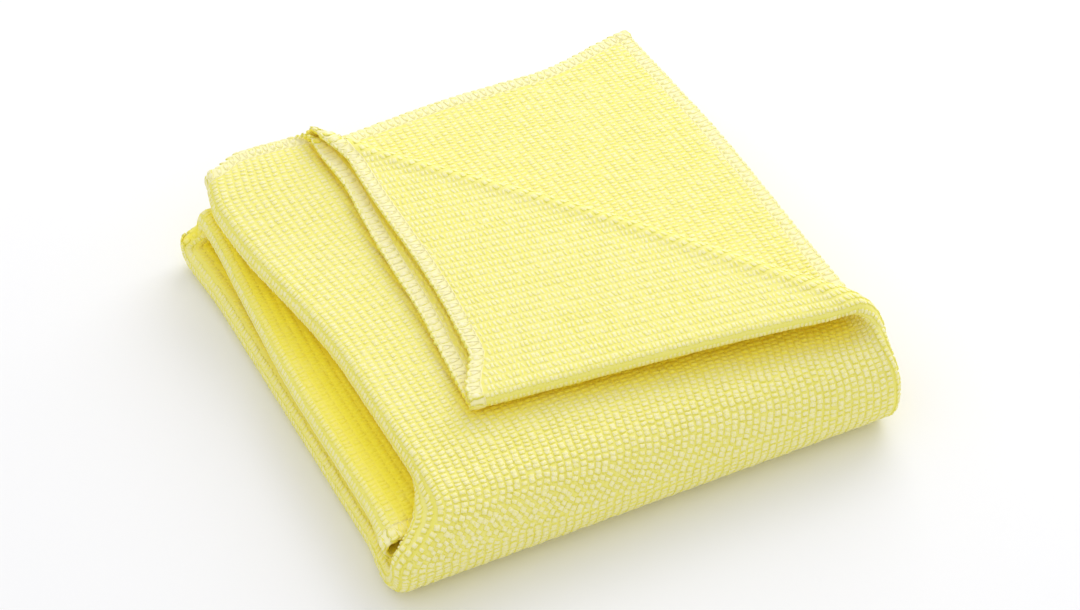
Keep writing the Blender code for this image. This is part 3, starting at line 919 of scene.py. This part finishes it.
def loop_carrier(name, rows):
    """One point for each loop, where it comes to lie, with the values that the loop tree reads."""
    stances = [stance(*row[:3]) for row in rows]
    carrier = bpy.data.meshes.new(name)
    carrier.from_pydata([found[0] for found in stances], [], [])
    for number, fact in enumerate(LOOP_FACTS, 3):
        kept = carrier.attributes.new(fact, "FLOAT", "POINT")
        kept.data.foreach_set("value", [row[number] * (found[2] if fact == "wide" else 1)
                                        for row, found in zip(rows, stances)])
    kept = carrier.attributes.new("stance", "FLOAT_VECTOR", "POINT")
    kept.data.foreach_set("vector", [part for found in stances for part in found[1]])
    return carrier


class CLOTH_OT_knit_loops(bpy.types.Operator):
    """Set the loops of the knit wherever the folded cloth can be seen"""
    bl_idname = "cloth.knit_loops"
    bl_label = "Set the Loops"

    def execute(self, context):
        knit, thread = context.scene.knit, context.scene.thread
        ground = bpy.data.objects["cloth_knit"]
        # the survey's openness, weighted to the soft light, is what the finishes paint as golden shade and
        # shadow
        survey = surveyed(BVHTree.FromObject(ground, context.evaluated_depsgraph_get()))
        SURVEYED.update(survey)
        mark_openness(ground.data, survey)
        finish, tree = loop_material(knit), loop_tree()
        groups = {"edge_puffs": edge_puffs(knit, thread, survey)}
        for row in rib_loops(knit, survey, thread.width + LOOPS_OFF):
            groups.setdefault(stretch_of_cloth(*row[:3]), []).append(row)
        for name, rows in groups.items():
            if not rows:
                raise RuntimeError("no loop of " + name + " can be seen")
            mesh = baked(new_object(name, loop_carrier(name, rows)), tree, {
                "Length": knit.course * LOOP_FILL[1], "Width": knit.wale * LOOP_FILL[0],
                "Height": knit.loop_height, "Unevenness": knit.unevenness, "Seed": LOOP_SEED,
                "Segments": SEGMENTS, "Rings": RINGS.get(name, 3), "Finish": finish}, name)
            for vertex in mesh.vertices:
                vertex.co.z = max(vertex.co.z, 0.0)
            loops = new_object(name, mesh)
            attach(loops, "root")
        return {"FINISHED"}


# ---- The overlocked edge -----------------------------------------------------------------------
def overlock_tree():
    """A geometry tree that wraps thread round each edge and runs a needle line beside it."""
    tree, given, result = new_tree("overlock", (
        ("Stitch", "Float"), ("Width", "Float"), ("Reach", "Float"), ("Radius", "Float"),
        ("Finish", "Material")))
    stitch, width, reach, radius = (given.outputs[name]
                                    for name in ("Stitch", "Width", "Reach", "Radius"))
    rails = add(tree, "GeometryNodeMeshToCurve", {"Mesh": given.outputs["Geometry"]})
    tangent = add(tree, "GeometryNodeInputTangent")
    inward = add(tree, "ShaderNodeVectorMath", {0: (0.0, 0.0, 1.0), 1: tangent},
                 operation="CROSS_PRODUCT")
    run = add(tree, "GeometryNodeSplineParameter", out="Length")
    phase = calc(tree, "MULTIPLY", calc(tree, "DIVIDE", run, stitch), 2 * math.pi)

    def offset(inside, above):
        """Move away from the edge: inside the cloth and above its middle."""
        sideways = add(tree, "ShaderNodeVectorMath", {0: inward, "Scale": inside}, operation="SCALE")
        upward = add(tree, "ShaderNodeCombineXYZ", {"Z": above})
        return add(tree, "ShaderNodeVectorMath", {0: sideways, 1: upward}, operation="ADD")

    def marked(curve, name, value):
        """A curve that carries a value on its points."""
        return add(tree, "GeometryNodeStoreNamedAttribute",
                   {"Geometry": curve, "Name": name, "Value": value}, data_type="FLOAT", domain="POINT")

    def strand(points, inside, above):
        """A thread along every edge, with so many points to a stitch."""
        step = calc(tree, "DIVIDE", stitch, float(points))
        line = add(tree, "GeometryNodeResampleCurve", {"Curve": rails, "Length": step}, mode="LENGTH")
        line = marked(line, "run", run)
        line = add(tree, "GeometryNodeSetPosition", {"Geometry": line, "Offset": offset(inside, above)})
        ring = add(tree, "GeometryNodeCurvePrimitiveCircle",
                   {"Resolution": STRAND_SIDES, "Radius": radius}, mode="RADIUS")
        ring = marked(ring, "turn", add(tree, "GeometryNodeSplineParameter", out="Factor"))
        return add(tree, "GeometryNodeCurveToMesh", {"Curve": line, "Profile Curve": ring,
                                                     "Fill Caps": True})

    swing = calc(tree, "MULTIPLY_ADD", calc(tree, "COSINE", phase), -0.5, 0.5)
    inside = calc(tree, "MULTIPLY", swing, width)
    lying = add(tree, "ShaderNodeMapRange", {"Value": inside, "From Max": CLIMB},
                interpolation_type="SMOOTHSTEP")
    threads = []
    for side in (1.0, -1.0):
        above = calc(tree, "MULTIPLY", calc(tree, "MULTIPLY", lying, reach), side)
        threads.append(strand(SEAM_POINTS, calc(tree, "SUBTRACT", inside, radius), above))
        dip = calc(tree, "MULTIPLY_ADD", calc(tree, "COSINE", phase), DIP, DIP_MIDDLE)
        above = calc(tree, "MULTIPLY", calc(tree, "ADD", reach, dip), side)
        threads.append(strand(NEEDLE_POINTS, width, above))
    joined = tree.nodes.new("GeometryNodeJoinGeometry")
    for part in threads:
        tree.links.new(part, joined.inputs[0])
    threads = add(tree, "GeometryNodeRealizeInstances", {"Geometry": joined.outputs[0]})
    threads = add(tree, "GeometryNodeSetShadeSmooth", {"Geometry": threads, "Shade Smooth": False})
    threads = add(tree, "GeometryNodeSetMaterial", {"Geometry": threads,
                                                    "Material": given.outputs["Finish"]})
    tree.links.new(threads, result.inputs["Geometry"])
    return tree


class CLOTH_OT_overlock(bpy.types.Operator):
    """Overlock the cloth's four edges with matching thread"""
    bl_idname = "cloth.overlock"
    bl_label = "Overlock the Edges"

    def execute(self, context):
        thread = context.scene.thread
        carrier = bpy.data.meshes.new("overlock_thread")
        rails = [(*corner, 0.0) for ends in EDGES for corner in ends]
        carrier.from_pydata(rails, [(0, 1), (2, 3), (4, 5), (6, 7)], [])
        mesh = baked(new_object("overlock_thread", carrier), overlock_tree(), {
            "Stitch": thread.stitch, "Width": thread.width, "Reach": THREAD_HEIGHT,
            "Radius": thread.radius, "Finish": thread_material(thread, context.scene.knit)},
            "overlock_thread")
        fold(mesh)
        mark_openness(mesh, SURVEYED)
        edging = new_object("overlock_thread", mesh)
        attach(edging, "root")
        return {"FINISHED"}


# ---- The studio --------------------------------------------------------------------------------
class CLOTH_OT_studio(bpy.types.Operator):
    """Set the floor, the lights and the camera"""
    bl_idname = "cloth.studio"
    bl_label = "Set the Studio"

    def execute(self, context):
        studio, scene = context.scene.studio, context.scene
        ground = bmesh.new()
        bmesh.ops.create_grid(ground, x_segments=8, y_segments=8, size=FLOOR_REACH)
        mesh = bpy.data.meshes.new("floor")
        ground.to_mesh(mesh)
        ground.free()
        mesh.materials.append(floor_material(studio))
        new_object("floor", mesh)

        world = bpy.data.worlds.new("studio")
        world.use_nodes = True
        sky = world.node_tree.nodes["Background"]
        sky.inputs["Color"].default_value = (1.0, 1.0, 1.0, 1.0)
        sky.inputs["Strength"].default_value = studio.fill
        scene.world = world

        lamp = bpy.data.lights.new("key", "AREA")
        lamp.shape, lamp.energy = "RECTANGLE", studio.key
        lamp.size, lamp.size_y = KEY_SIZE
        key = bpy.data.objects.new("key", lamp)
        scene.collection.objects.link(key)
        key.location = KEY_PLACE
        key.rotation_euler = (-key.location).to_track_quat("-Z", "Y").to_euler()

        lens = bpy.data.cameras.new("camera")
        lens.sensor_width, lens.lens, lens.clip_start = FILM_WIDTH, FOCAL_LENGTH, 0.01
        camera = bpy.data.objects.new("camera", lens)
        scene.collection.objects.link(camera)
        ahead, right = Vector(CAMERA_AHEAD), Vector(CAMERA_RIGHT)
        turned = Matrix((right, right.cross(ahead).normalized(), -ahead)).transposed()
        camera.matrix_world = Matrix.Translation(CAMERA_PLACE) @ turned.to_4x4()
        scene.camera = camera
        scene.view_settings.view_transform = "Standard"
        scene.cycles.max_bounces = scene.cycles.diffuse_bounces = BOUNCES
        return {"FINISHED"}


# ---- The add-on --------------------------------------------------------------------------------
class CLOTH_PT_panel(bpy.types.Panel):
    """Lists the settings and the steps in their order"""
    bl_idname = "CLOTH_PT_panel"
    bl_label = "Folded Microfibre Cloth"
    bl_space_type = "VIEW_3D"
    bl_region_type = "UI"
    bl_category = "Cloth"

    def draw(self, context):
        for heading, settings in (("Knit", context.scene.knit), ("Thread", context.scene.thread),
                                  ("Studio", context.scene.studio)):
            box = self.layout.box()
            box.label(text=heading)
            for name in settings.__annotations__:
                box.prop(settings, name)
        for step in STEPS:
            self.layout.operator(step.bl_idname)


GROUPS = {"knit": KnitSettings, "thread": ThreadSettings, "studio": StudioSettings}
STEPS = (CLOTH_OT_knit_ground, CLOTH_OT_knit_loops, CLOTH_OT_overlock, CLOTH_OT_studio)


def register():
    """Register the settings, the steps and the panel."""
    for kind in (*GROUPS.values(), *STEPS, CLOTH_PT_panel):
        bpy.utils.register_class(kind)
    for name, kind in GROUPS.items():
        setattr(bpy.types.Scene, name, bpy.props.PointerProperty(type=kind))


def unregister():
    """Take out what register put in."""
    for name in GROUPS:
        delattr(bpy.types.Scene, name)
    for kind in reversed((*GROUPS.values(), *STEPS, CLOTH_PT_panel)):
        bpy.utils.unregister_class(kind)


def main():
    """Make the cloth and its studio in order."""
    register()
    bpy.ops.cloth.knit_ground()
    bpy.ops.cloth.knit_loops()
    bpy.ops.cloth.overlock()
    bpy.ops.cloth.studio()


if __name__ == "__main__":
    main()
